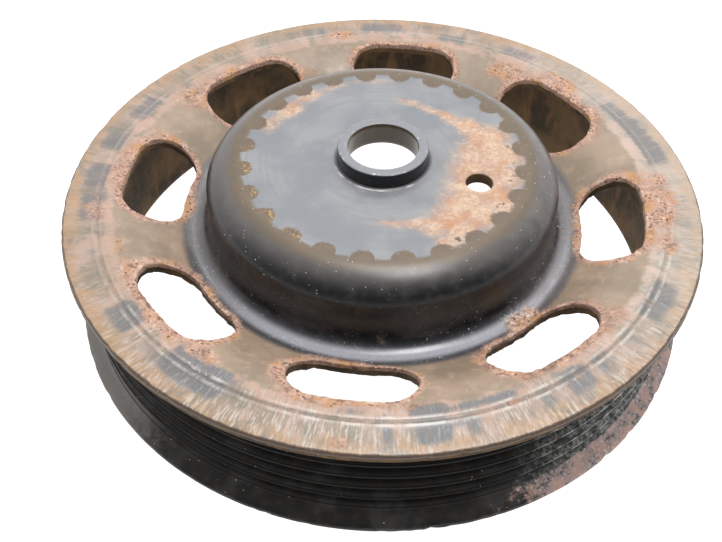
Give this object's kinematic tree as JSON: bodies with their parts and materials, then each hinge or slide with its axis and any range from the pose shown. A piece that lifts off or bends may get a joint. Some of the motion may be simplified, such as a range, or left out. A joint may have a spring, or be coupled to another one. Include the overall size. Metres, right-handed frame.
{
  "type": "crankshaft pulley",
  "caption": "Pressed steel crankshaft pulley for a ribbed belt, with a slotted dished web, a raised hub, a short centring neck and an off-centre dowel hole.",
  "frame": {"origin": "on the shaft's axis, in the plane of the lower flange's foot, on which the pulley stands", "axes": "+Z along the shaft's axis, from the belt rim towards the hub face and the neck that meet the crankshaft; +X through the middle of one web slot, with the dowel hole 13.5 degrees to its right, seen from above"},
  "size_m": [0.136, 0.136, 0.0382],
  "materials": {
    "pulley_steel": "worn dark satin paint over steel, brown with rust round the slots and black in the belt grooves"
  },
  "bodies": {
    "root": {"pulley": "pulley_steel"}
  },
  "joints": []
}
